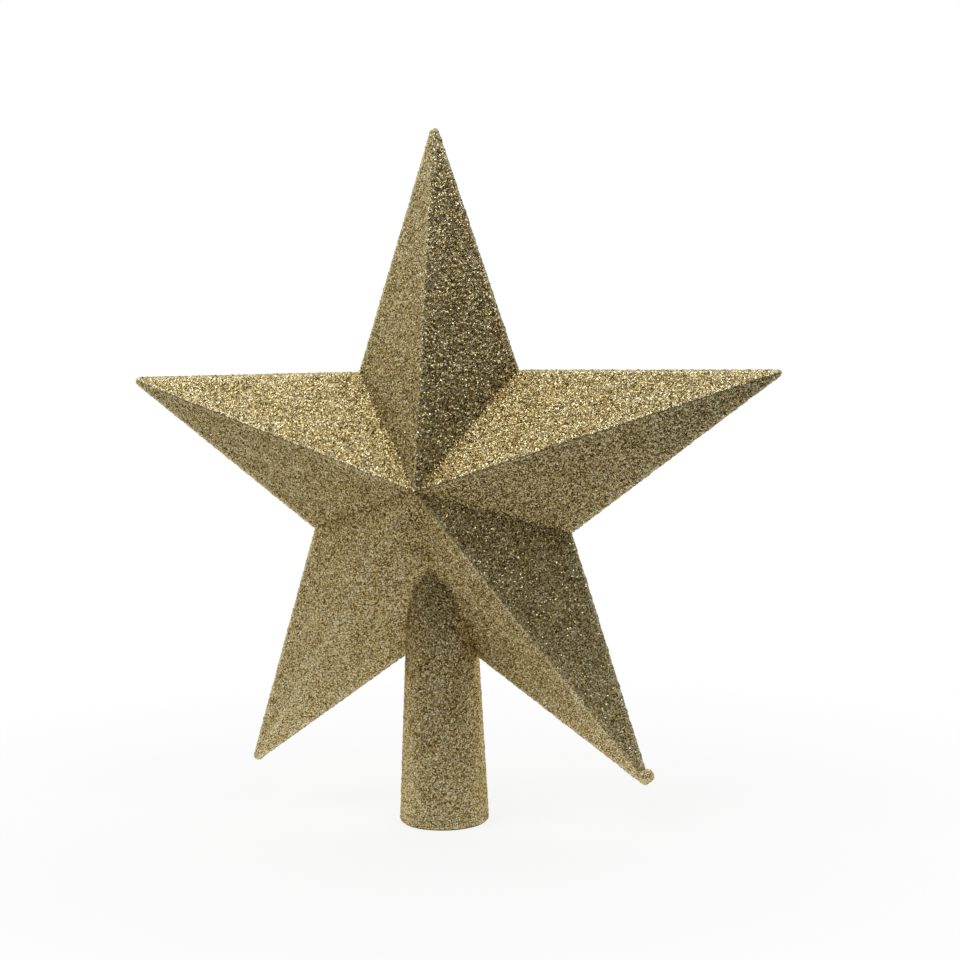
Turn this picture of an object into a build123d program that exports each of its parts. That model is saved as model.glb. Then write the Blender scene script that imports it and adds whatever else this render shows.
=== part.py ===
"""Tree topper star: two moulded half shells glued round a tapered socket tube, coated in glitter.

The origin is the centre of the tube's mouth, on the plane it stands on. Z is up, the star lies in the XZ
plane and its front faces -Y. Sizes are millimetres and degrees.
"""
import os
from math import atan2, cos, hypot, pi, radians, sin, tan

from build123d import *

# Star form, measured on the bare plastic, from where its edges would meet
point_count = 5
tip_radius = 98.4
notch_radius = 38.6
apex_rise = 19.3
tip_rounding = 0.7
centre_height = 92.9

# Half shells and the rib that locates them along the seam
wall = 1.5
seam_rib_width = 0.7
seam_rib_height = 0.45
seam_rib_setback = 0.3
seam_clearance = 0.1

# Locating pins of the front half, and their sockets in the rear half
pin_circle = 54.0
pin_radius = 1.6
pin_length = 4.0
pin_lead_in = 0.4
socket_wall = 1.3
pin_clearance = 0.12

# Socket tube that slips over the tree's leading shoot
mouth_radius = 12.0
tube_taper = 2.7
tube_wall = 1.4
mouth_land = 8.0
rim_bevel = 0.5
end_wall = 1.4
end_stub = 2.0
end_bevel = 0.8

# Collar on the tube, and the seats in both shells that trap it
collar_width = 1.8
collar_thickness = 1.6
collar_gap = 0.8
seat_thickness = 1.6
seat_reach = 4.0
tube_clearance = 0.15

# Glitter coat
coat = 0.35
rim_margin = 0.6

# Hardened drip of lacquer at the lower right tip, counted anticlockwise from the top one
drip_tip = 3
drip_radius = 2.4
drip_overhang = 0.1
drip_lean = 0.7

# Slopes that follow from the star's form
half_turn = pi / point_count
arm_run = tip_radius - notch_radius * cos(half_turn)
arm_half_width = notch_radius * sin(half_turn)
tip_half_angle = atan2(arm_half_width, arm_run)
edge_distance = tip_radius * sin(tip_half_angle)
facet_slope = atan2(apex_rise, edge_distance)
valley_rate = apex_rise / notch_radius
tube_rate = tan(radians(tube_taper))

# Widths of the seam's flat land and of its rib, measured inwards from the outline
land_width = wall / sin(facet_slope)
rib_inner = land_width - seam_rib_setback
rib_outer = rib_inner - seam_rib_width

# Heights along the tube, where its collar just fits between the valleys of the shells
cavity_rise = apex_rise - wall / cos(facet_slope)
axis_radius = mouth_radius - tube_rate * centre_height
collar_room = cavity_rise - axis_radius - collar_width - collar_gap
collar_bottom = centre_height - collar_room / (valley_rate + tube_rate)
collar_top = collar_bottom + collar_thickness
tube_length = collar_top + tube_clearance + seat_thickness + end_stub

front_plane = Plane(origin=(0, 0, centre_height), x_dir=(1, 0, 0), z_dir=(0, -1, 0))
rear_plane = Plane(origin=(0, 0, centre_height), x_dir=(-1, 0, 0), z_dir=(0, 1, 0))
on_base = (Align.CENTER, Align.CENTER, Align.MIN)
below_base = (Align.CENTER, Align.CENTER, Align.MAX)


def tip_angle(index):
    """Angle of a tip in the star's plane, counted anticlockwise from the top one."""
    return pi / 2 + 2 * index * half_turn


def star_corners(outset):
    """Tips and notches of the star's outline in turn, with every edge moved outwards."""
    growth = 1 + outset / edge_distance
    corners = []
    for index in range(point_count):
        tip = tip_angle(index)
        notch = tip + half_turn
        corners.append(Vector(tip_radius * growth * cos(tip), tip_radius * growth * sin(tip)))
        corners.append(Vector(notch_radius * growth * cos(notch), notch_radius * growth * sin(notch)))
    return corners


def star_face(outset, rounding=0.0):
    """The star's outline with every edge moved outwards, as a face with rounded or sharp tips."""
    face = make_face(Polyline(*star_corners(outset), close=True))
    if rounding > 0:
        halfway = (tip_radius + notch_radius) / 2
        tips = [corner for corner in face.vertices() if hypot(corner.X, corner.Y) > halfway]
        face = fillet(tips, rounding)
    return face


def pyramid(offset):
    """Sharp half star on the XY plane with every facet moved outwards by offset."""
    apex = Vector(0, 0, apex_rise + offset / cos(facet_slope))
    outline = star_corners(offset / sin(facet_slope))
    faces = [Face(Wire.make_polygon(outline))]
    for start, end in zip(outline, outline[1:] + outline[:1]):
        faces.append(Face(Wire.make_polygon([start, end, apex])))
    return Solid(Shell(faces))


def half_star(offset):
    """Half star whose tips are rounded in plan, as the moulding and its coat are."""
    outline = star_face(offset / sin(facet_slope), tip_rounding + offset)
    return pyramid(offset) & extrude(outline, amount=2 * apex_rise)


def seam_ring(gap, height):
    """Low ring that runs along the seam's land, as the rib or, with a gap, as its groove."""
    ring = star_face(gap - rib_outer) - star_face(-gap - rib_inner)
    return extrude(ring, amount=height)


def arm_posts(radius, height, align):
    """One cylinder on the ridge line of every arm."""
    post = Cylinder(radius, height, align=align)
    return [place * post for place in PolarLocations(pin_circle, point_count, start_angle=90)]


def bare_half():
    """Hollow half star: its facets, less the same facets moved inwards by the wall."""
    return half_star(0) - pyramid(-wall)


def front_half():
    """Front half shell with its seam rib and locating pins, on the XY plane."""
    pin = Cylinder(pin_radius, pin_length, align=below_base)
    pin = chamfer(pin.edges().group_by(Axis.Z)[0], pin_lead_in)
    pins = [place * pin for place in PolarLocations(pin_circle, point_count, start_angle=90)]
    posts = half_star(0) & (Part() + arm_posts(pin_radius, apex_rise, on_base))
    return bare_half() + posts + pins + seam_ring(0, -seam_rib_height)


def rear_half():
    """Rear half shell with its seam groove and pin sockets, on the XY plane."""
    bore = pin_radius + pin_clearance
    bosses = half_star(0) & (Part() + arm_posts(bore + socket_wall, apex_rise, on_base))
    groove = seam_ring(seam_clearance, seam_rib_height + seam_clearance)
    return bare_half() + bosses - arm_posts(bore, pin_length + pin_clearance, on_base) - groove


def tube_radius(height):
    """Outer radius of the tube at a height above its mouth."""
    return mouth_radius - tube_rate * height


def tube_cone(low, high, gap):
    """Solid cone that follows the outside of the tube, with a gap all round."""
    cone = Cone(tube_radius(low) + gap, tube_radius(high) + gap, high - low, align=on_base)
    return Pos(0, 0, low) * cone


def collar_seats(plane):
    """Two plates in one half of the star, just under and just over the tube's collar."""
    width = 2 * (tube_radius(collar_bottom) + seat_reach)
    plate = Box(width, 2 * apex_rise, seat_thickness, align=on_base)
    under = Pos(0, 0, collar_bottom - tube_clearance - seat_thickness) * plate
    over = Pos(0, 0, collar_top + tube_clearance) * plate
    return (plane * half_star(0)) & (under + over)


def shell(plane, half):
    """A half shell in its place, with its collar seats and the opening for the tube."""
    opening = tube_cone(0, tube_length + tube_clearance, tube_clearance)
    return plane * half + collar_seats(plane) - opening


def socket_tube():
    """Tapered tube with a straight land at its mouth, a collar and a closed upper end."""
    land_bore = tube_radius(mouth_land) - tube_wall
    socket_top = tube_length - end_wall
    collar_radius = tube_radius(collar_bottom) + collar_width
    rim = (mouth_radius, 0)
    shoulder = (tube_radius(tube_length), tube_length)
    profile = Polyline(
        (land_bore, 0),
        rim,
        (tube_radius(collar_bottom), collar_bottom),
        (collar_radius, collar_bottom),
        (collar_radius, collar_top),
        (tube_radius(collar_top), collar_top),
        shoulder,
        (0, tube_length),
        (0, socket_top),
        (tube_radius(socket_top) - tube_wall, socket_top),
        (land_bore, mouth_land),
        close=True,
    )
    section = make_face(profile)
    section = chamfer(section.vertices().sort_by_distance(rim)[0], rim_bevel)
    section = chamfer(section.vertices().sort_by_distance(shoulder)[0], end_bevel)
    return revolve(Plane.XZ * section, Axis.Z)


def star_coat(plane):
    """Glitter coat on one half of the star, which stops against the tube."""
    return plane * (half_star(coat) - half_star(0)) - tube_cone(0, tube_length, 0)


def coated_star():
    """The whole coated star as one solid, to trim what meets it."""
    return front_plane * half_star(coat) + rear_plane * half_star(coat)


def tube_coat(star):
    """Glitter coat on the tube, from just above the rim up to the star."""
    sleeve = tube_cone(rim_margin, tube_length, coat) - tube_cone(0, tube_length, 0)
    return sleeve - star


def drip_bead(star):
    """Round drip over a tip of the coated star, which leans to the arm's upper side."""
    rounding = tip_rounding + coat
    coated_tip = tip_radius * (1 + coat / sin(facet_slope) / edge_distance)
    tip_end = coated_tip - rounding * (1 / sin(tip_half_angle) - 1)
    reach = tip_end + drip_overhang - drip_radius
    angle = tip_angle(drip_tip)
    across = reach * cos(angle) - drip_lean * sin(angle)
    up = reach * sin(angle) + drip_lean * cos(angle)
    centre = Pos(across, 0, centre_height + up)
    return centre * Sphere(drip_radius) - star


star = coated_star()
nodes = {
    "front_shell": shell(front_plane, front_half()),
    "rear_shell": shell(rear_plane, rear_half()),
    "socket_tube": socket_tube(),
    "front_glitter_coat": star_coat(front_plane),
    "rear_glitter_coat": star_coat(rear_plane),
    "tube_glitter_coat": tube_coat(star),
    "drip_bead": drip_bead(star),
}

os.makedirs("parts", exist_ok=True)
for name, solid in nodes.items():
    export_step(solid, f"parts/{name}.step")
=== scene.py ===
# %% [markdown]
# # A glitter star for the top of the tree
# The real thing is a hollow plastic star, glued together from two halves round a tapered tube, then
# coated all over with lacquer and gold glitter. The solid model gives every piece its size and place, and
# its coats are smooth. This lesson dresses it. The coats are built again as finely faceted surfaces with
# blunted tips and filled valleys, a cell pattern in their material makes the flakes, and a white studio
# lights them.

# %% Load the solid model as the frame
from math import atan2, cos, pi, radians, sin, tan

import bpy
import numpy as np
from mathutils import Matrix, Vector
from mathutils.geometry import delaunay_2d_cdt


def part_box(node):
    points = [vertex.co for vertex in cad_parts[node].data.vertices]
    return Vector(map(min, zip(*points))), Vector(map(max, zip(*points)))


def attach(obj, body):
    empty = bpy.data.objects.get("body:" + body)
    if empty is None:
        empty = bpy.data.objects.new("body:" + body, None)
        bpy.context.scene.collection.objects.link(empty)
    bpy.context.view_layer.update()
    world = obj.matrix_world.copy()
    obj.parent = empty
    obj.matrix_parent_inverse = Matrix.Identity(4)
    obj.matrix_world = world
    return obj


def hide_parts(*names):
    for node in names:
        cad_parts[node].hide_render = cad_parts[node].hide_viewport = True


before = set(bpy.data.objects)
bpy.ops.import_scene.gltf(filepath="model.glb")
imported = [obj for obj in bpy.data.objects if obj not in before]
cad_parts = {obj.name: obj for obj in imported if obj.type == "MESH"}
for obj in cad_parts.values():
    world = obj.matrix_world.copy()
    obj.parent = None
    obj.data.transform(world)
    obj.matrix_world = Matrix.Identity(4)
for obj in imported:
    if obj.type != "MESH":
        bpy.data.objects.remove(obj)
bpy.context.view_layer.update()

print("nodes:", sorted(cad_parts))

# %% [markdown]
# ## The star's form
# Every facet of the star has the same slope, so half a star is one height field over its plan: the height
# is the distance from the nearest edge of the outline times that slope. Ten flat triangles would give the
# form as well, but a height that can be asked for anywhere is easy to round, fill and roughen later. The
# sizes are those of the coated star, in metres, and the apex is read from the frame.

# %% Sizes of the coated star
MM = 0.001
POINTS = 5
HALF_TURN = pi / POINTS
TIP_RADIUS = 100.5 * MM
NOTCH_RADIUS = 39.42 * MM
CENTRE = 92.9 * MM
APEX_RISE = -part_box("front_glitter_coat")[0].y

tip_half_angle = atan2(NOTCH_RADIUS * sin(HALF_TURN), TIP_RADIUS - NOTCH_RADIUS * cos(HALF_TURN))
edge_distance = TIP_RADIUS * sin(tip_half_angle)
slope = APEX_RISE / edge_distance
print(f"facets rise {slope:.3f}, apex {APEX_RISE / MM:.2f} mm")

# %% [markdown]
# ## Plan outline with blunted tips
# Lacquer rounds the tips off, and the top one is blunter than the rest. A Bevel modifier on a
# ten-cornered outline would round them all alike. An arc that touches both edges of an arm gives each tip
# its own radius instead. The tips are counted anticlockwise from the top one, and the points lie about
# one flake apart.

# %% Outline of the star in plan
FLAKE = 0.41 * MM
TIP_ROUNDING = np.array([1.42, 1.3, 1.3, 1.1, 0.95]) * MM
FEWEST_EDGE_POINTS = 2
FEWEST_ARC_POINTS = 5
arm_angles = pi / 2 + 2 * HALF_TURN * np.arange(POINTS)


def edge_points(start, end, step):
    """Evenly spaced points from start to end, without the end itself."""
    count = max(FEWEST_EDGE_POINTS, round(np.hypot(*(end - start)) / step))
    return start + (end - start) * np.arange(count)[:, None] / count


def arm_outline(rounding):
    """One arm's outline along its own axis: an edge, an arc of the given radius round the tip, an edge.

    The arc's centre lies rounding / sin(half angle) inside the sharp tip."""
    centre = np.array([TIP_RADIUS - rounding / sin(tip_half_angle), 0.0])
    swing = pi / 2 - tip_half_angle
    turns = np.linspace(-swing, swing, max(FEWEST_ARC_POINTS, round(2 * swing * rounding / FLAKE)))
    arc = centre + rounding * np.stack([np.cos(turns), np.sin(turns)], 1)
    notch = NOTCH_RADIUS * np.array([cos(HALF_TURN), sin(HALF_TURN)])
    to_tip = edge_points(notch * (1, -1), arc[0], FLAKE)
    from_tip = edge_points(arc[-1], notch, FLAKE)
    return np.concatenate([to_tip, arc[:-1], from_tip])


def turned(points, angle):
    """Points of an arm turned from the X axis to the arm's own angle."""
    c, s = cos(angle), sin(angle)
    return points @ np.array([[c, s], [-s, c]])


outline = np.concatenate([turned(arm_outline(r), t) for r, t in zip(TIP_ROUNDING, arm_angles)])
print(len(outline), "points round the star")

# %% [markdown]
# ## One half arm stands for all
# The star repeats itself ten times: five arms, each with a mirror line. Folding any point of the plan
# into the same half arm means that edges, ridges and valleys are described once. A Mirror modifier and
# copies turned round the centre would repeat the flakes as well, and the eye would notice. The distances
# found here drive all that follows: the height, the roughness, the wear and the painted light and shade.


# %% Folding the plan, and distances in it
def folded(plan):
    """Index of the nearest arm, and the point's place along and across that arm."""
    angle = np.arctan2(plan[:, 1], plan[:, 0]) - pi / 2
    arm = np.round(angle / (2 * HALF_TURN)).astype(int) % POINTS
    turn = arm_angles[arm]
    along = plan[:, 0] * np.cos(turn) + plan[:, 1] * np.sin(turn)
    across = plan[:, 1] * np.cos(turn) - plan[:, 0] * np.sin(turn)
    return arm, along, np.abs(across)


def inside(plan):
    """Distance from the outline, positive inside: to the arm's edge, or to the arc round its tip."""
    arm, along, across = folded(plan)
    rounding = TIP_ROUNDING[arm]
    past = along - (TIP_RADIUS - rounding / sin(tip_half_angle))
    to_edge = (TIP_RADIUS - along) * sin(tip_half_angle) - across * cos(tip_half_angle)
    to_arc = rounding - np.hypot(past, across)
    return np.where(past > across * tan(tip_half_angle), to_arc, to_edge)


def from_valley(along, across):
    """Distance from the line between two arms: a sin t - b cos t, where t is half the turn between arms."""
    return along * sin(HALF_TURN) - across * cos(HALF_TURN)


print(f"centre lies {inside(np.zeros((1, 2)))[0] / MM:.2f} mm inside the outline")

# %% [markdown]
# ## Height over the plan
# Glitter softens the moulded edges. The ridge is rounded by swapping |b| for sqrt(b² + k²), which leaves
# the facet alone a few k away from it. The valley is filled in the same way, as thick lacquer fills it.
# Along the outline a quarter round turns the surface down to the seam, so that front and rear meet in a
# bead and not in a blade.

# %% Height field of half a star
RIDGE_ROUNDING = 0.06 * MM
VALLEY_FILL = 0.45 * MM
EDGE_OUTSET = 0.3 * MM
EDGE_ROUNDING = 0.5 * MM


def height(plan):
    """Height of the coat above the parting plane.

    slope x ((R - a) sin h - sqrt(b² + k²) cos h), plus the fill of the valley, capped by a quarter round
    of the edge rounding along the outline. a runs along the arm, b across it, h is half the tip's angle."""
    _, along, across = folded(plan)
    ridge = np.sqrt(across**2 + RIDGE_ROUNDING**2)
    facet = (TIP_RADIUS - along) * sin(tip_half_angle) - ridge * cos(tip_half_angle) + EDGE_OUTSET
    valley = from_valley(along, across)
    fill = (np.sqrt(valley**2 + VALLEY_FILL**2) - valley) * cos(HALF_TURN + tip_half_angle)
    rise = slope * (facet + fill)
    depth = np.clip(inside(plan), 0, EDGE_ROUNDING)
    cap = np.sqrt(EDGE_ROUNDING**2 - (EDGE_ROUNDING - depth) ** 2)
    return np.where(depth < EDGE_ROUNDING, np.minimum(cap, rise), rise)


print(f"apex at {height(np.zeros((1, 2)))[0] / MM:.2f} mm")

# %% [markdown]
# ## A skin as rough as glitter
# Flakes stuck in lacquer make a lumpy skin with a toothed outline. A face for every flake would take
# millions of triangles, and a Displace modifier needs a mesh just as fine. Here the points lie on a
# triangular lattice about as coarse as the flakes, each jittered now and lifted later, and the material
# adds the flakes. A row of points along every ridge keeps triangles from bridging it. A Delaunay
# triangulation joins all the points and keeps to the outline.

# %% Points and triangles over the plan
# Shares of a step of the lattice
ROW_SPACING = sin(pi / 3)
JITTER = 0.3
RIDGE_CLEARANCE = 0.5
RIM_CLEARANCE = 0.6

# What the triangulation is asked for: triangles inside the rim, and points this close count as one
INSIDE_ONLY = 1
SAME_POINT = 1e-9

RIM_WOBBLE = 0.07 * MM
RIM_SEED = 5


def lattice(rng, step):
    """Jittered triangular lattice over the plan, kept clear of the outline, with a row on every ridge."""
    reach = TIP_RADIUS
    rows = np.arange(-reach, reach, step * ROW_SPACING)
    columns = np.arange(-reach, reach, step)
    x, z = np.meshgrid(columns, rows)
    x = x + (np.arange(len(rows))[:, None] % 2) * step / 2
    plan = np.stack([x.ravel(), z.ravel()], 1) + rng.uniform(-JITTER, JITTER, (x.size, 2)) * step
    plan = plan[folded(plan)[2] > RIDGE_CLEARANCE * step]
    along = np.arange(0, reach, step)
    row = np.stack([along, 0 * along], 1)
    plan = np.concatenate([plan, *(turned(row[1:], angle) for angle in arm_angles), row[:1]])
    return plan[inside(plan) > RIM_CLEARANCE * step]


def joined(plan, rim_count):
    """Triangles between the points of a plan whose first points are its closed rim."""
    ring = np.arange(rim_count)
    edges = np.stack([ring, np.roll(ring, -1)], 1)
    result = delaunay_2d_cdt(plan.tolist(), edges.tolist(), [], INSIDE_ONLY, SAME_POINT)
    points, _, faces, _, _, _ = result
    return np.array(points), np.array(faces)


rim = outline + np.random.default_rng(RIM_SEED).normal(0, RIM_WOBBLE, outline.shape)
print(f"rim wobbles by up to {np.abs(rim - outline).max() / MM:.2f} mm")

# %% [markdown]
# ## From arrays to a mesh
# Points could be added one by one, but foreach_set hands Blender a whole array at once, which suits a
# mesh of this size. Each piece also gets a UV map, into which its material can be baked, and an attribute
# that says how pale the coat is at every point: wear, painted highlight and painted shade.


# %% Mesh from arrays
def open_edges(faces):
    """Edges that belong to one triangle only, in that triangle's own direction."""
    edges = np.concatenate([faces[:, [0, 1]], faces[:, [1, 2]], faces[:, [2, 0]]])
    _, first, count = np.unique(np.sort(edges, 1), axis=0, return_index=True, return_counts=True)
    return edges[first[count == 1]]


def mesh_piece(name, points, faces, uv, pale):
    """Object at the origin from points, triangles, UV pairs, and how pale each point is, below 0 if dark."""
    used, faces = np.unique(faces, return_inverse=True)
    points, pale, faces = points[used], pale[used], faces.reshape(-1, 3)
    mesh = bpy.data.meshes.new(name)
    mesh.vertices.add(len(points))
    mesh.vertices.foreach_set("co", points.astype(np.float32).ravel())
    mesh.loops.add(faces.size)
    mesh.loops.foreach_set("vertex_index", faces.astype(np.int32).ravel())
    mesh.polygons.add(len(faces))
    mesh.polygons.foreach_set("loop_start", np.arange(0, faces.size, 3, dtype=np.int32))
    mesh.polygons.foreach_set("loop_total", np.full(len(faces), 3, dtype=np.int32))
    mesh.update(calc_edges=True)
    # Paleness per point: wear and painted highlight above zero, painted shade below
    paleness = mesh.attributes.new("pale", "FLOAT", "POINT")
    paleness.data.foreach_set("value", pale.astype(np.float32))
    layer = mesh.uv_layers.new(name="OFBake")
    layer.data.foreach_set("uv", uv.astype(np.float32).ravel())
    mesh.validate()
    piece = bpy.data.objects.new(name, mesh)
    bpy.context.scene.collection.objects.link(piece)
    print(name, len(points), "points", len(faces), "triangles")
    return piece


triangle_pair = np.array([[0, 1, 2], [0, 2, 3]])
print("a square of two triangles has", len(open_edges(triangle_pair)), "open edges")

# %% [markdown]
# ## Wear, painted highlight and painted shade
# On the star the glitter is paler along the outline, on the ridges, and more and more towards the tips.
# This is partly wear, partly a painted highlight on the edges and painted light in place of the shade near
# the centre. In the valleys the coat is darker, a painted shade. This could be painted by hand as vertex
# colours. A formula of the distances above follows the edges exactly, and stays right when a size changes.

# %% Wear, painted highlight and painted shade of the star's coats
# Edges: wear and painted highlight. Tips: wear and painted light. Valleys: painted shade.
EDGE_WEAR_AND_HIGHLIGHT = 0.8 * MM
TIP_WEAR_AND_LIGHT = 85 * MM
VALLEY_SHADE_WIDTH = 2.5 * MM
RIDGE_SHARE = 0.5
TIP_SHARE = 0.36
VALLEY_SHADE_SHARE = 0.45


def wear_and_painted_light(plan):
    """Paleness from wear and painted highlight: exp(-(d / width)²) from rim and ridge, painted light up each
    arm.

    In the valleys the coat is darker by exp(-d / width), a painted shade."""
    _, along, across = folded(plan)
    near_ridge = RIDGE_SHARE * np.exp(-((across / EDGE_WEAR_AND_HIGHLIGHT) ** 2))
    near_rim = np.exp(-((inside(plan) / EDGE_WEAR_AND_HIGHLIGHT) ** 2))
    near_tip = np.clip(1 - (TIP_RADIUS - along) / TIP_WEAR_AND_LIGHT, 0, 1)
    valley_shade = np.exp(-np.abs(from_valley(along, across)) / VALLEY_SHADE_WIDTH)
    return np.clip(np.maximum(near_ridge, near_rim) + TIP_SHARE * near_tip, 0, 1) - VALLEY_SHADE_SHARE * valley_shade


print(f"worn between {wear_and_painted_light(rim).min():.2f} and {wear_and_painted_light(rim).max():.2f} along the rim")

# %% [markdown]
# ## The tube's outside
# The tube is a plain cone, and its coat turns in at the rim with a small round, as lacquer does at an
# edge. A cone with a Bevel modifier looks the same, but the star's coat has to know where the tube passes
# into it. So the radius is a function of the height, and comes before both coats.

# %% Radius of the coated tube
MOUTH_RADIUS = 12.35 * MM
TUBE_RATE = tan(radians(2.7))
TUBE_BOTTOM = 0.05 * MM
RIM_ROUND = 1.1 * MM


def tube_radius(z):
    """Outer radius of the coated tube at a height: a cone, with a quarter round of lacquer at the rim."""
    turn_in = RIM_ROUND - np.clip(z - TUBE_BOTTOM, 0, RIM_ROUND)
    return MOUTH_RADIUS - TUBE_RATE * z - RIM_ROUND + np.sqrt(RIM_ROUND**2 - turn_in**2)


print(f"tube {2 * tube_radius(RIM_ROUND) / MM:.1f} mm across above its rim")

# %% [markdown]
# ## The two star coats
# Each half of the star has a coat of its own, front and rear. The lattice is raised to the height field,
# and every point moves along the facet's normal by a random lift, less near rim and ridge so that these
# stay clean. A fan of thin triangles, from the open border to a point under the apex, closes the coat
# from behind, where nobody sees it. A Solidify modifier would close it too, with twice the triangles.
# Triangles that would lie inside the tube are left out.

# %% Star coats
LIFT = 0.08 * MM
LIFT_LIMIT = 2.5 * LIFT
RIM_CALM = 0.8 * MM
LEAST_LIFT = 0.35
NUDGE = 0.02 * MM
TUBE_OVERLAP = 0.6 * MM
COAT_DEPTH = 0.45 * MM
PLAN_WIDTH = 2.02 * TIP_RADIUS
HIDDEN_UV = 0.02


def normals(plan, side):
    """Unit normals of one half's height field, from its slopes in x and z over a small nudge."""
    grad_x = (height(plan + (NUDGE, 0)) - height(plan - (NUDGE, 0))) / (2 * NUDGE)
    grad_z = (height(plan + (0, NUDGE)) - height(plan - (0, NUDGE))) / (2 * NUDGE)
    normal = np.stack([-grad_x, np.full(len(plan), side * 1.0), -grad_z], 1)
    return normal / np.linalg.norm(normal, axis=1, keepdims=True)


def star_coat(name, side, seed):
    """Closed coat of one half, -1 the front and 1 the rear: the height field with random lifts, and a fan.

    A point is (x, side x height, z), moved along the facet's normal by its lift."""
    rng = np.random.default_rng(seed)
    plan, faces = joined(np.concatenate([rim, lattice(rng, FLAKE)]), len(rim))
    rise = height(plan)
    lift = np.clip(rng.normal(0, LIFT, len(plan)), -LIFT_LIMIT, LIFT_LIMIT)
    lift *= np.clip(np.minimum(inside(plan), folded(plan)[2]) / RIM_CALM, LEAST_LIFT, 1)
    on_rim = np.arange(len(plan)) < len(rim)
    rise[on_rim] = 0
    lift[on_rim] = 0
    smooth = np.stack([plan[:, 0], side * rise, CENTRE + plan[:, 1]], 1)
    points = smooth + normals(plan, side) * lift[:, None]
    gap = np.hypot(points[:, 0], points[:, 1]) - tube_radius(points[:, 2])
    buried = (gap < -TUBE_OVERLAP) & (plan[:, 1] < 0)
    faces = faces[~buried[faces].all(1)]
    # The plan's triangles face the front, so those of the rear are turned round
    if side > 0:
        faces = faces[:, ::-1]
    # Paleness: wear and painted highlight on the edges, painted light towards the tips, painted shade in the
    # valleys
    return closed_coat(name, side, points, faces, wear_and_painted_light(plan))


def closed_coat(name, side, points, faces, pale):
    """Adds the fan from the coat's open border to a point under the apex, so that the coat is a solid.

    The UV map is the plan itself. The fan, which nobody sees, is squeezed into a corner of it."""
    border = open_edges(faces)
    under = np.array([[0, side * (APEX_RISE - COAT_DEPTH), CENTRE]])
    fan = np.stack([border[:, 1], border[:, 0], np.full(len(border), len(points))], 1)
    points = np.concatenate([points, under])
    faces = np.concatenate([faces, fan])
    uv = (points[faces][:, :, [0, 2]] - (0, CENTRE)) / PLAN_WIDTH + 0.5
    uv[-len(fan):] *= HIDDEN_UV
    return mesh_piece(name, points, faces, uv, np.append(pale, 0))


front_coat = star_coat("glitter_front", side=-1, seed=11)
rear_coat = star_coat("glitter_rear", side=1, seed=12)

# %% [markdown]
# ## The tube's coat
# The sleeve is an even grid round the tube, with every other row shifted by half a step, so that its
# triangles are as regular as those of the lattice. A cylinder cut by a Boolean would leave slivers where
# it meets the star. Here triangles that lie well inside the star are just left out. The same grid, smooth
# and a little smaller, closes the sleeve against the plastic. The foot is paler, painted light from the
# floor, and the top is darker, painted shade under the star's arms.

# %% Rows of triangles, and the depth inside the star
TUBE_TOP = 74 * MM
TUBE_COLUMNS = 180
TUBE_ROWS = round((TUBE_TOP - TUBE_BOTTOM) / (FLAKE * ROW_SPACING))


def grid_faces(rows, columns):
    """Row and column of every corner of the triangles between shifted rows, not yet wrapped round."""
    grid = np.meshgrid(np.arange(rows - 1), np.arange(columns), indexing="ij")
    row, column = (places.ravel() for places in grid)
    odd = row % 2
    first_rows = np.stack([row, row, row + 1], 1)
    first_columns = np.stack([column, column + 1, column + odd], 1)
    second_rows = np.stack([row, row + 1, row + 1], 1)
    second_columns = np.stack([column + 1 - odd, column + 1, column], 1)
    return np.concatenate([first_rows, second_rows]), np.concatenate([first_columns, second_columns])


def star_depth(points):
    """How far a point lies behind the star's coat, measured along Y, below zero outside."""
    plan = points[:, [0, 2]] - (0, CENTRE)
    return np.where(inside(plan) > 0, height(plan), 0) - np.abs(points[:, 1])


print(TUBE_ROWS, "rows of", TUBE_COLUMNS, "points up the tube")

# %% Sleeve round the tube
TUBE_SKIN = 0.35 * MM
TUBE_BITE = 0.1 * MM
TUBE_SINK = 2.0 * LIFT
TUBE_SEED = 13
CALM_ROWS = 2
BURY = 0.8 * MM
# The foot's paleness is painted light from the floor, and the top's darkening is painted shade under the
# star
FOOT_PAINTED_LIGHT = 0.3
TOP_PAINTED_SHADE = 0.5
SLEEVE_UV = (1.0, 0.96)
LINING_UV = (0, 0.97)
LIP_UV = 0.99


def tube_walls():
    """Outer and inner wall of the sleeve, (r cos a, r sin a, z): the outer with random lifts."""
    rng = np.random.default_rng(TUBE_SEED)
    row = np.arange(TUBE_ROWS)[:, None]
    turn = 2 * pi / TUBE_COLUMNS
    angle = (np.arange(TUBE_COLUMNS) + 0.5 * (row % 2)) * turn
    z = TUBE_BOTTOM + row * (TUBE_TOP - TUBE_BOTTOM) / (TUBE_ROWS - 1) + 0 * angle
    loose = (row > 0) & (row < TUBE_ROWS - 1)
    angle = angle + loose * rng.uniform(-JITTER, JITTER, z.shape) * turn
    z = z + loose * rng.uniform(-JITTER, JITTER, z.shape) * FLAKE
    lift = np.clip(rng.normal(0, LIFT, z.shape), -TUBE_SINK, LIFT_LIMIT)
    lift[:CALM_ROWS] = 0
    lining = np.minimum(tube_radius(z), MOUTH_RADIUS - TUBE_RATE * z - TUBE_SKIN) - TUBE_BITE
    radii = (tube_radius(z) + lift, lining)
    return [np.stack([r * np.cos(angle), r * np.sin(angle), z], 2).reshape(-1, 3) for r in radii]


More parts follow.
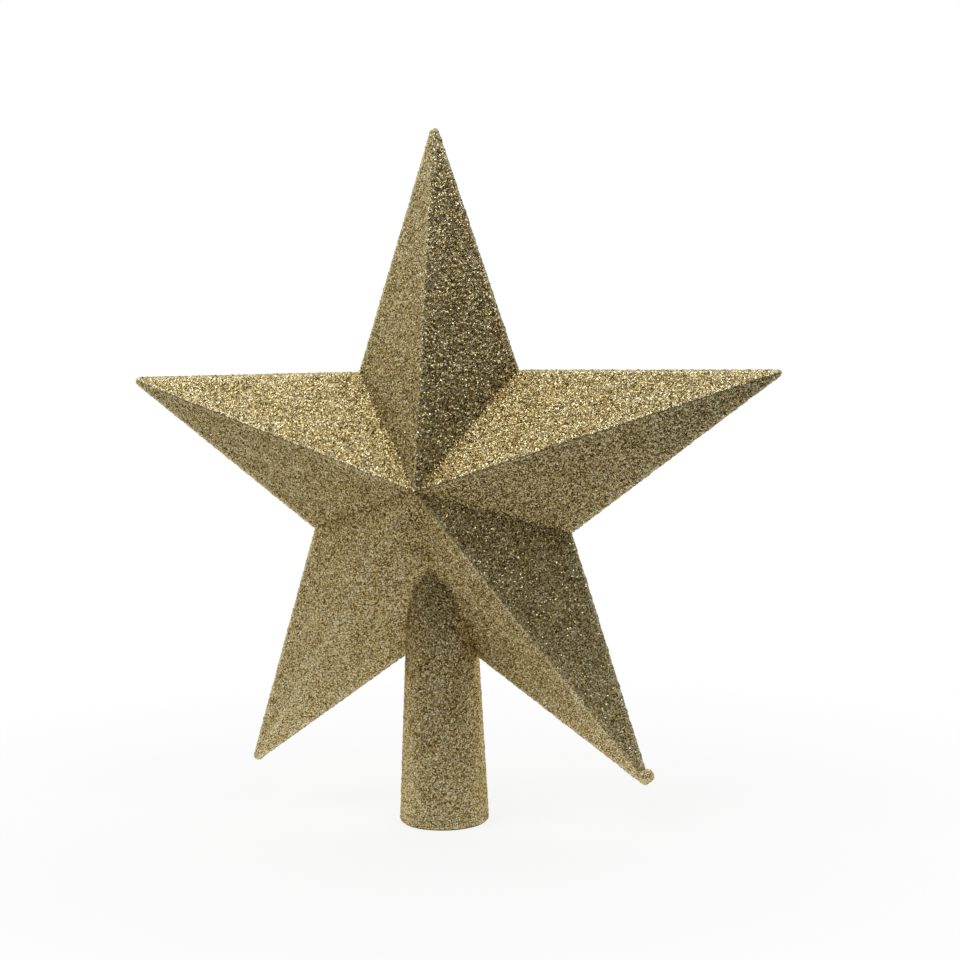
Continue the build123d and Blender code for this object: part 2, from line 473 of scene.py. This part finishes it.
def tube_coat():
    """Sleeve of two walls, trimmed inside the star and closed by a lip along its borders.

    The UV map is the unrolled tube. The lining and the lip are squeezed into a strip above it."""
    walls = tube_walls()
    rows, columns = grid_faces(TUBE_ROWS, TUBE_COLUMNS)
    outer = rows * TUBE_COLUMNS + columns % TUBE_COLUMNS
    shown = ~(star_depth(walls[0]) > BURY)[outer].all(1)
    outer = outer[shown]
    sleeve_uv = np.stack([columns / TUBE_COLUMNS, rows / TUBE_ROWS], 2)[shown] * SLEEVE_UV
    inner = outer[:, ::-1] + len(walls[0])
    lining_uv = sleeve_uv[:, ::-1] * HIDDEN_UV + LINING_UV
    border = open_edges(outer)
    ends = border + len(walls[0])
    lip = np.concatenate([np.stack([border[:, 1], border[:, 0], ends[:, 0]], 1),
                          np.stack([border[:, 1], ends[:, 0], ends[:, 1]], 1)])
    faces = np.concatenate([outer, inner, lip])
    uv = np.concatenate([sleeve_uv, lining_uv, np.full((len(lip), 3, 2), LIP_UV)])
    points = np.concatenate(walls)
    # Paleness falls with height: painted light at the foot, painted shade at the top under the star
    return mesh_piece("glitter_tube", points, faces, uv, FOOT_PAINTED_LIGHT - TOP_PAINTED_SHADE * points[:, 2] / TUBE_TOP)


tube_sleeve = tube_coat()

# %% [markdown]
# ## The drip
# At the lower right tip the lacquer ran into a bead before it set. A metaball or a sculpted sphere would
# do for a single picture. A ball with a few waves in its radius, wider than it is high, is small and the
# same on each run. Its centre and size come from the frame.

# %% Bead at the lower right tip
drip_low, drip_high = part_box("drip_bead")
drip_centre = np.array((drip_low + drip_high) / 2)
drip_radius = (drip_high.y - drip_low.y) / 2
DRIP_STRETCH = np.array([1.12, 0.95, 0.73])
DRIP_SHIFT = np.array([0.0, 0, 0.1]) * MM
DRIP_RINGS = 17
DRIP_SIDES = 32
SIDE_WAVE = 0.05
HEIGHT_WAVE = 0.04
DRIP_JITTER = 0.2
DRIP_SEED = 14
DRIP_PALE = 0.7
DRIP_UV_WIDTH = 3 * drip_radius


def drip_surface():
    """Ball of radius r (1 + s sin(3x + 1) - h cos(4z)) with random lifts, stretched, poles last.

    s and h are the heights of its two waves, and (x, y, z) is the unit way out from its centre."""
    rng = np.random.default_rng(DRIP_SEED)
    latitude = np.linspace(-pi / 2, pi / 2, DRIP_RINGS)[1:-1, None]
    half_step = 0.5 * (np.arange(DRIP_RINGS - 2)[:, None] % 2)
    longitude = (np.arange(DRIP_SIDES) + half_step) * 2 * pi / DRIP_SIDES
    latitude = latitude + rng.uniform(-DRIP_JITTER, DRIP_JITTER, longitude.shape) * pi / DRIP_RINGS
    way = np.stack([np.cos(latitude) * np.cos(longitude), np.cos(latitude) * np.sin(longitude),
                    np.sin(latitude)], 2).reshape(-1, 3)
    way = np.concatenate([way, [[0, 0, -1], [0, 0, 1]]])
    x, _, z = way.T
    radius = drip_radius * (1 + SIDE_WAVE * np.sin(3 * x + 1) - HEIGHT_WAVE * np.cos(4 * z))
    radius += rng.normal(0, LIFT, len(way))
    return drip_centre + DRIP_SHIFT + way * DRIP_STRETCH * radius[:, None]


def drip_bead():
    """Triangles between the bead's rings, and fans of them round its two poles."""
    points = drip_surface()
    ring = np.arange(DRIP_RINGS - 3)[:, None] * DRIP_SIDES
    here = np.arange(DRIP_SIDES)[None, :]
    after = (here + 1) % DRIP_SIDES
    a, b, c, d = ring + here, ring + after, ring + DRIP_SIDES + after, ring + DRIP_SIDES + here
    belt = np.concatenate([np.stack([a, b, d], 2).reshape(-1, 3), np.stack([b, c, d], 2).reshape(-1, 3)])
    south = np.stack([after[0], here[0], np.full(DRIP_SIDES, len(points) - 2)], 1)
    last = (DRIP_RINGS - 3) * DRIP_SIDES
    north = np.stack([last + here[0], last + after[0], np.full(DRIP_SIDES, len(points) - 1)], 1)
    faces = np.concatenate([belt, south, north])
    uv = (points[faces][:, :, [0, 2]] - drip_centre[[0, 2]]) / DRIP_UV_WIDTH + 0.5
    return mesh_piece("glitter_drip", points, faces, uv, np.full(len(points), DRIP_PALE))


bead = drip_bead()

# %% [markdown]
# ## Bare plastic
# The shells and the tube are moulded in a gold-coloured plastic, which shows on the rim and inside the
# socket. A flat colour would look like paper there, so a fine noise stirs it a little, as pigment in
# plastic does. A material can be wired by hand in the shader editor. Written out, each node takes several
# lines, so three helpers make a node and set or link its inputs in one. The glitter, the floor and the
# room use them too.


# %% Helpers that wire a material
def new_material(name):
    """Node material with a Principled shader: the material, its tree and the shader."""
    material = bpy.data.materials.new(name)
    material.use_nodes = True
    tree = material.node_tree
    return material, tree, tree.nodes["Principled BSDF"]


def linked(tree, kind, links, **settings):
    """New node with its settings, and its inputs, by name or place, linked to a source or set to a value."""
    node = tree.nodes.new(kind)
    for name, value in settings.items():
        setattr(node, name, value)
    for key, source in links.items():
        if hasattr(source, "node"):
            tree.links.new(source, node.inputs[key])
        else:
            node.inputs[key].default_value = source
    return node


def ramp(tree, source, stops):
    """Colour of a value, from (place, colour) stops."""
    node = linked(tree, "ShaderNodeValToRGB", {"Fac": source})
    while len(node.color_ramp.elements) < len(stops):
        node.color_ramp.elements.new(0.5)
    for element, (place, colour) in zip(node.color_ramp.elements, stops):
        element.position = place
        element.color = (*colour, 1)
    return node.outputs["Color"]


# %% Plastic material
# Scales of a noise count its lumps in a metre
PLASTIC_GRAIN = 900
PLASTIC_COLOURS = [(0.3, (0.30, 0.22, 0.09)), (0.7, (0.38, 0.29, 0.12))]
PLASTIC_ROUGHNESS = 0.4


def gold_plastic():
    """Moulded plastic: two gold browns stirred by a noise."""
    material, tree, shader = new_material("gold_plastic")
    place = tree.nodes.new("ShaderNodeTexCoord").outputs["Object"]
    noise = linked(tree, "ShaderNodeTexNoise", {"Vector": place, "Scale": PLASTIC_GRAIN})
    tree.links.new(ramp(tree, noise.outputs["Fac"], PLASTIC_COLOURS), shader.inputs["Base Color"])
    shader.inputs["Roughness"].default_value = PLASTIC_ROUGHNESS
    return material


plastic = gold_plastic()
print(plastic.name, "has", len(plastic.node_tree.nodes), "nodes")

# %% [markdown]
# ## Gold glitter
# A flake is a scrap of metallised film stuck in lacquer. Its mirror side points its own way, and its
# colour runs from brown through gold to pale yellow with the batch and with what covers it. A particle
# system could scatter such flakes, but they would be too many to keep. A Voronoi pattern does it in the
# shader: every cell is one flake, and its random colour gives it a tilt, a tone, a gloss and a tint. The
# pale attribute moves the tone up the ramp for wear and painted highlight, and down for painted shade.
# The lacquer also scatters light between the flakes, so the finish is only part metal, with hardly any
# clear reflection, which would turn dark flakes grey.

# %% Colours of the flakes
FLAKE_COLOURS = [(0.0, (0.036, 0.015, 0.002)), (0.3, (0.17, 0.10, 0.02)), (0.6, (0.65, 0.46, 0.16)),
                 (0.8, (0.99, 0.83, 0.44)), (1.0, (1.0, 0.96, 0.70))]
PATCHES = 220
PATCH_DETAIL = 3
PATCH_RANGE = (0.3, 0.7)
PATCHY = 0.06
# How far paleness moves the tone: up for wear and painted highlight, down for painted shade
PALE_TONE_SHIFT = 0.25
MAUVE = (0.50, 0.36, 0.22)
MAUVE_TINTS = (0.7, 1.0)
MAUVE_SHARE = 0.25
OLIVE = (0.56, 0.49, 0.14)
OLIVE_TINTS = (0.3, 0.0)
OLIVE_SHARE = 0.35
# Pale gold mixed in for wear and painted highlight
WEAR_AND_HIGHLIGHT_GOLD = (1.0, 0.92, 0.55)
WEAR_AND_HIGHLIGHT_SHARE = 0.1

# A Mix node has sockets of the same names for every kind of data, so those for colours go by their places
MIX_SHARE, MIX_FIRST, MIX_SECOND, MIX_RESULT = 0, 6, 7, 2


def mapped(tree, source, before, after):
    """A value carried from one range to another, and held at its ends."""
    before_ends = {"Value": source, "From Min": before[0], "From Max": before[1]}
    after_ends = {"To Min": after[0], "To Max": after[1]}
    return linked(tree, "ShaderNodeMapRange", {**before_ends, **after_ends}).outputs["Result"]


def mixed(tree, share, first, second):
    """A colour mixed with a plain one by a share."""
    node = tree.nodes.new("ShaderNodeMix")
    node.data_type = "RGBA"
    tree.links.new(share, node.inputs[MIX_SHARE])
    tree.links.new(first, node.inputs[MIX_FIRST])
    node.inputs[MIX_SECOND].default_value = (*second, 1)
    return node.outputs[MIX_RESULT]


def flake_colour(tree, place, tone, tint):
    """Ramp colour of tone + paleness + patches, mauve or olive by the tint, paler for wear and painted
    highlight.
    """
    patches = linked(tree, "ShaderNodeTexNoise", {"Vector": place, "Scale": PATCHES, "Detail": PATCH_DETAIL})
    shift = mapped(tree, patches.outputs["Fac"], PATCH_RANGE, (-PATCHY, PATCHY))
    # Paleness: wear and painted highlight, and painted shade where it is below zero
    paleness = linked(tree, "ShaderNodeAttribute", {}, attribute_name="pale").outputs["Fac"]
    risen = linked(tree, "ShaderNodeMath", {0: paleness, 1: PALE_TONE_SHIFT, 2: shift}, operation="MULTIPLY_ADD")
    level = linked(tree, "ShaderNodeMath", {0: tone, 1: risen.outputs[0]}, operation="ADD")
    gold = ramp(tree, level.outputs[0], FLAKE_COLOURS)
    mauve = mixed(tree, mapped(tree, tint, MAUVE_TINTS, (0.0, MAUVE_SHARE)), gold, MAUVE)
    olive = mixed(tree, mapped(tree, tint, OLIVE_TINTS, (0.0, OLIVE_SHARE)), mauve, OLIVE)
    return mixed(tree, mapped(tree, paleness, (0.0, 1.0), (0.0, WEAR_AND_HIGHLIGHT_SHARE)), olive, WEAR_AND_HIGHLIGHT_GOLD)


print(len(FLAKE_COLOURS), "stops from brown to pale yellow")

# %% Glitter material
CELL = 0.27 * MM
TILT = 0.55
SHUFFLE = (13, 17, 11)
FLAKE_ROUGHNESS = (0.5, 0.18)
FLAKE_METAL = 0.6
FLAKE_SPECULAR = 0.05
FLAKE_SPECULAR_TINT = (1.0, 0.85, 0.5, 1)


def flake_normal(tree, random):
    """Surface normal leaning by tilt x (random - 0.5) in every axis, made a unit again."""
    centred = linked(tree, "ShaderNodeVectorMath", {0: random, 1: (0.5, 0.5, 0.5)}, operation="SUBTRACT")
    leaning = linked(tree, "ShaderNodeVectorMath", {0: centred.outputs[0], "Scale": TILT}, operation="SCALE")
    upright = tree.nodes.new("ShaderNodeNewGeometry").outputs["Normal"]
    tilted = linked(tree, "ShaderNodeVectorMath", {0: leaning.outputs[0], 1: upright}, operation="ADD")
    return linked(tree, "ShaderNodeVectorMath", {0: tilted.outputs[0]}, operation="NORMALIZE").outputs[0]


def gold_glitter():
    """Metal flakes: every cell of a cell pattern is one flake, with its own tilt, tone, gloss and tint.

    The tilt is the cell's random colour. The rest is that colour times three primes, less the whole part."""
    material, tree, shader = new_material("gold_glitter")
    place = tree.nodes.new("ShaderNodeTexCoord").outputs["Object"]
    cells = linked(tree, "ShaderNodeTexVoronoi", {"Vector": place, "Scale": 1 / CELL})
    random = cells.outputs["Color"]
    spread = linked(tree, "ShaderNodeVectorMath", {0: random, 1: SHUFFLE}, operation="MULTIPLY")
    again = linked(tree, "ShaderNodeVectorMath", {0: spread.outputs[0]}, operation="FRACTION")
    tone, gloss, tint = linked(tree, "ShaderNodeSeparateXYZ", {0: again.outputs[0]}).outputs
    tree.links.new(flake_colour(tree, place, tone, tint), shader.inputs["Base Color"])
    tree.links.new(mapped(tree, gloss, (0.0, 1.0), FLAKE_ROUGHNESS), shader.inputs["Roughness"])
    tree.links.new(flake_normal(tree, random), shader.inputs["Normal"])
    shader.inputs["Metallic"].default_value = FLAKE_METAL
    shader.inputs["Specular IOR Level"].default_value = FLAKE_SPECULAR
    shader.inputs["Specular Tint"].default_value = FLAKE_SPECULAR_TINT
    return material


glitter = gold_glitter()
print(glitter.name, "has", len(glitter.node_tree.nodes), "nodes")

# %% [markdown]
# ## Dressing the frame
# The star is rigid, so every new piece rides on the one body of the frame as a child of its empty. Each
# rough coat replaces a smooth one of the solid model, which is hidden. The plastic pieces of the model
# stay as they are and only get their material.

# %% Pieces, their material and what they replace
for piece in (front_coat, rear_coat, tube_sleeve, bead):
    piece.data.materials.append(glitter)
    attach(piece, "root")
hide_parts("front_glitter_coat")
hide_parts("rear_glitter_coat")
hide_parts("tube_glitter_coat")
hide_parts("drip_bead")
for name in ("front_shell", "rear_shell", "socket_tube"):
    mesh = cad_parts[name].data
    mesh.materials.clear()
    mesh.materials.append(plastic)
print("dressed", len(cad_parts), "nodes")

# %% [markdown]
# ## Floor
# The photograph shows the star on plain white. A big white floor would have an edge against the
# background, so a small sheet fades out into it. The sheet keeps a trace of the star's shadow. It glows a
# little, as a sheet on a light table does, so that the lower facets mirror something pale. A camera under
# it looks through it.

# %% White sheet
SHEET_SOLID = 0.06
SHEET_END = 0.26
SHEET_SIDES = 64
SHEET_WHITE = 0.8
SHEET_GLOW = 0.1
SHEET_COLOUR = (0.92, 0.92, 0.92, 1)
WHITE = (1, 1, 1, 1)


def sheet_material():
    """Dull white, mostly plain white to the camera, that fades to clear between two radii or from below."""
    material, tree, shader = new_material("floor_white")
    shader.inputs["Base Color"].default_value = SHEET_COLOUR
    shader.inputs["Roughness"].default_value = 1.0
    shader.inputs["Specular IOR Level"].default_value = 0.0
    shader.inputs["Emission Color"].default_value = WHITE
    shader.inputs["Emission Strength"].default_value = SHEET_GLOW
    camera_ray = tree.nodes.new("ShaderNodeLightPath").outputs["Is Camera Ray"]
    white = linked(tree, "ShaderNodeEmission", {"Color": WHITE, "Strength": 1.0})
    share = mapped(tree, camera_ray, (0.0, 1.0), (0.0, SHEET_WHITE))
    seen = linked(tree, "ShaderNodeMixShader", {0: share, 1: shader.outputs[0], 2: white.outputs[0]})
    place = tree.nodes.new("ShaderNodeTexCoord").outputs["Object"]
    reach = linked(tree, "ShaderNodeVectorMath", {0: place}, operation="LENGTH")
    fade = mapped(tree, reach.outputs["Value"], (SHEET_SOLID, SHEET_END), (0.0, 1.0))
    fade.node.interpolation_type = "SMOOTHSTEP"
    below = tree.nodes.new("ShaderNodeNewGeometry").outputs["Backfacing"]
    hidden = linked(tree, "ShaderNodeMath", {0: below, 1: camera_ray, 2: fade}, operation="MULTIPLY_ADD")
    hidden.use_clamp = True
    clear = tree.nodes.new("ShaderNodeBsdfTransparent").outputs[0]
    faded = linked(tree, "ShaderNodeMixShader", {0: hidden.outputs[0], 1: seen.outputs[0], 2: clear})
    tree.links.new(faded.outputs[0], tree.nodes["Material Output"].inputs["Surface"])
    return material


def floor_piece():
    """Flat round sheet under the rim: (r cos t, r sin t, 0)."""
    mesh = bpy.data.meshes.new("floor")
    turns = np.arange(SHEET_SIDES) * 2 * pi / SHEET_SIDES
    edge = SHEET_END * np.stack([np.cos(turns), np.sin(turns), 0 * turns], 1)
    mesh.from_pydata(edge.tolist(), [], [list(range(SHEET_SIDES))])
    mesh.materials.append(sheet_material())
    floor = bpy.data.objects.new("floor", mesh)
    bpy.context.scene.collection.objects.link(floor)
    print(floor.name, f"is {2 * SHEET_END:.2f} m across")


floor_piece()

# %% [markdown]
# ## Room
# Glitter is made of mirrors, so it looks like what is around it. The photograph's background is white,
# and flakes that mirror it are pale. The near side of a studio is dark, which gives the facets their
# depth. White all round, or a single world colour, would flatten them. So the room is white on its far
# side, turned a little to the left, and black on the near one, with a breath of light from above. Glossy
# rays see the far side as white as the camera does, and other light from it is a little lower. Camera and
# transmission rays see white in every direction.

# %% White room with a dark near side
ROOM_WHITE = 1.0
ROOM_LIGHT = 0.9
ROOM_UP = 0.15
UP = (0, 0, 1)
AWAY = (-0.42, 0.908, 0.0)
TURN_FROM = -0.3
TURN_TO = 0.6


def studio_room():
    """Light of each direction d: a smooth step from black to full by d . away, plus up x max(0, d . z).

    Full is white to glossy rays and a little lower to the rest. Camera and transmission rays see white."""
    world = bpy.data.worlds.new("studio")
    bpy.context.scene.world = world
    world.use_nodes = True
    tree = world.node_tree
    direction = tree.nodes.new("ShaderNodeTexCoord").outputs["Generated"]
    facing = linked(tree, "ShaderNodeVectorMath", {0: direction, 1: AWAY}, operation="DOT_PRODUCT")
    far_side = mapped(tree, facing.outputs["Value"], (TURN_FROM, TURN_TO), (0.0, 1.0))
    far_side.node.interpolation_type = "SMOOTHSTEP"
    rays = tree.nodes.new("ShaderNodeLightPath").outputs
    full = mapped(tree, rays["Is Glossy Ray"], (0.0, 1.0), (ROOM_LIGHT, ROOM_WHITE))
    upward = linked(tree, "ShaderNodeVectorMath", {0: direction, 1: UP}, operation="DOT_PRODUCT")
    sky = mapped(tree, upward.outputs["Value"], (0.0, 1.0), (0.0, ROOM_UP))
    light = linked(tree, "ShaderNodeMath", {0: far_side, 1: full, 2: sky}, operation="MULTIPLY_ADD")
    seen_by = {0: rays["Is Camera Ray"], 1: rays["Is Transmission Ray"]}
    through = linked(tree, "ShaderNodeMath", seen_by, operation="MAXIMUM")
    levels = {"Factor": through.outputs[0], "A": light.outputs[0], "B": ROOM_WHITE}
    seen = linked(tree, "ShaderNodeMix", levels)
    background = tree.nodes["Background"]
    background.inputs["Color"].default_value = WHITE
    tree.links.new(seen.outputs["Result"], background.inputs["Strength"])
    print(world.name, "has", len(tree.nodes), "nodes")


studio_room()

# %% [markdown]
# ## Soft boxes
# The upper facets of the side arms are the brightest, and their glints are crisp. Two square lamps
# overhead, one to each side, do this. A sun lamp would make the glints too small and hard. The powers
# were set by comparing the brightness of every facet with the photograph.

# %% Two lamps overhead
SOFT_BOXES = {
    "left_box": ((-0.35, -0.45, 0.9), 2.7),
    "right_box": ((0.6, -0.3, 0.9), 2.2),
}
BOX_WIDTH = 0.5


def soft_box(name, place, aim, width, power):
    """Square lamp that looks at a point."""
    lamp = bpy.data.lights.new(name, "AREA")
    lamp.size = width
    lamp.energy = power
    lit = bpy.data.objects.new(name, lamp)
    lit.location = place
    lit.rotation_euler = (Vector(aim) - Vector(place)).to_track_quat("-Z", "Y").to_euler()
    bpy.context.scene.collection.objects.link(lit)
    print(name, power, "W")


for name, (place, power) in SOFT_BOXES.items():
    soft_box(name, place, (0, 0, CENTRE), BOX_WIDTH, power)

# %% [markdown]
# ## Camera
# The camera's place, turn and lens were worked out from where the tips, notches and apex lie in the
# photograph. A Track To constraint would aim it as well, but can't give it the small roll that the
# picture has. Colours go to the screen by the Standard view, so that white stays white.

# %% Camera
VIEW_TURN = radians(17.994)
VIEW_TILT = radians(-3.799)
VIEW_ROLL = radians(-0.768)
CAMERA_PLACE = Vector((157.83, -449.94, 126.28)) * MM
SENSOR_WIDTH = 36.0
LENS = 65.185
NEAREST = 0.01

camera_data = bpy.data.cameras.new("camera")
camera_data.sensor_width = SENSOR_WIDTH
camera_data.lens = LENS
camera_data.clip_start = NEAREST
camera = bpy.data.objects.new("camera", camera_data)
upright = Matrix.Rotation(pi / 2, 4, "X")
turn = Matrix.Rotation(VIEW_TURN, 4, "Y")
tilt = Matrix.Rotation(VIEW_TILT, 4, "X")
roll = Matrix.Rotation(VIEW_ROLL, 4, "Z")
camera.matrix_world = Matrix.Translation(CAMERA_PLACE) @ upright @ turn @ tilt @ roll
bpy.context.scene.collection.objects.link(camera)
bpy.context.scene.camera = camera
bpy.context.scene.view_settings.view_transform = "Standard"
print(f"camera {CAMERA_PLACE.length:.2f} m from the star's foot")
